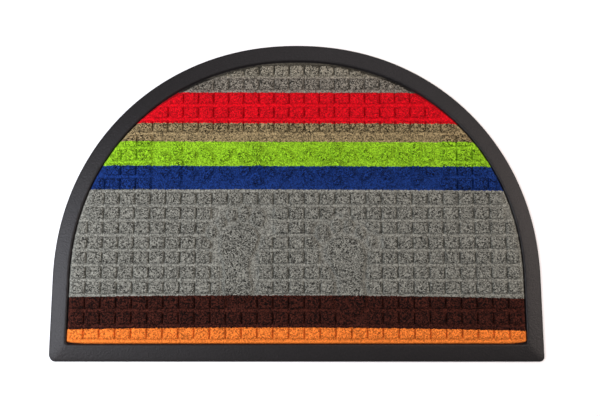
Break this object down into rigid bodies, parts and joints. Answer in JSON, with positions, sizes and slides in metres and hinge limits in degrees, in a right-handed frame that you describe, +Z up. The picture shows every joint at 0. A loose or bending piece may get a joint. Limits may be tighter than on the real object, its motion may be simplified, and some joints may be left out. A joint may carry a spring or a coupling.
{
  "type": "doormat",
  "caption": "Half-moon doormat: a striped carpet pressed in squares, with footprints, in a rubber tray with a sloping border.",
  "frame": {"origin": "on the floor, under the middle of the mat's bounding box", "axes": "+Z up through the pile, X along the straight edge, +Y from the straight edge towards the arch's crown"},
  "size_m": [0.6, 0.4, 0.0076],
  "materials": {
    "rubber": "matt black moulded rubber",
    "carpet": "rough polypropylene pile, mostly grey with coloured stripes, smooth where it is pressed"
  },
  "bodies": {
    "root": {"rubber_base": "rubber", "carpet": "carpet"}
  },
  "joints": []
}
